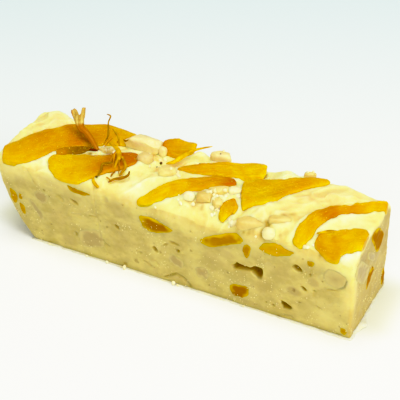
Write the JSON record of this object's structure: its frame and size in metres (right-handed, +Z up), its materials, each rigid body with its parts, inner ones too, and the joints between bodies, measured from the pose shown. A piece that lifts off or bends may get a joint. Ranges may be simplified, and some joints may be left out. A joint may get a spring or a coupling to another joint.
{
  "type": "nougat bar",
  "caption": "Hand-cut bar of soft nougat on wafer paper, with dried fruit strips, chopped nuts and dried petals.",
  "frame": {"origin": "on the resting face, under the middle of the bar", "axes": "+X along the bar to the square end, +Y to the back, +Z up; the shown cut face looks to -Y"},
  "size_m": [0.1148, 0.0288, 0.0379],
  "materials": {
    "nougat": "soft, slightly waxy aerated sugar, cut faces with fine pits",
    "fruit": "dried fruit, translucent amber yellow with fine sugar grain",
    "nut": "blanched nut, matt with a faint oily sheen",
    "petal": "dry crinkled petal",
    "wafer": "thin edible wafer paper, matt"
  },
  "bodies": {
    "root": {"fruit_end_edge": "fruit", "fruit_end_large": "fruit", "fruit_end_thin": "fruit", "fruit_front_bit": "fruit", "fruit_front_corner": "fruit", "fruit_front_cube": "fruit", "fruit_front_far_left": "fruit", "fruit_front_leaf": "fruit", "fruit_front_long": "fruit", "fruit_front_low_left": "fruit", "fruit_front_rim": "fruit", "fruit_front_sliver": "fruit", "fruit_front_small": "fruit", "fruit_front_wedge": "fruit", "fruit_strip_back_left": "fruit", "fruit_strip_back_middle": "fruit", "fruit_strip_fold": "fruit", "fruit_strip_front_left": "fruit", "fruit_strip_middle": "fruit", "fruit_strip_right_back": "fruit", "fruit_strip_right_front": "fruit", "fruit_strip_right_middle": "fruit", "fruit_strip_scrap": "fruit", "fruit_strip_standing": "fruit", "nougat": "nougat", "nut_end_large": "nut", "nut_end_narrow": "nut", "nut_front_corner": "nut", "nut_front_dark": "nut", "nut_front_large": "nut", "nut_front_low": "nut", "nut_front_middle": "nut", "nut_front_slit": "nut", "nut_top_back": "nut", "nut_top_bead": "nut", "nut_top_block": "nut", "nut_top_chunk": "nut", "nut_top_crumb": "nut", "nut_top_half": "nut", "nut_top_heap_back": "nut", "nut_top_heap_front": "nut", "nut_top_heap_left": "nut", "nut_top_inner": "nut", "nut_top_nub": "nut", "nut_top_pea": "nut", "nut_top_round": "nut", "nut_top_slab": "nut", "nut_top_sunk": "nut", "petal_club": "petal", "petal_curled_second": "petal", "petal_curled_yellow": "petal", "petal_fold": "petal", "petal_red": "petal", "petal_rim": "petal", "petal_trumpet": "petal", "thread_branch": "petal", "thread_dark": "petal", "thread_hooked": "petal", "thread_lying": "petal", "wafer_paper": "wafer"}
  },
  "joints": []
}
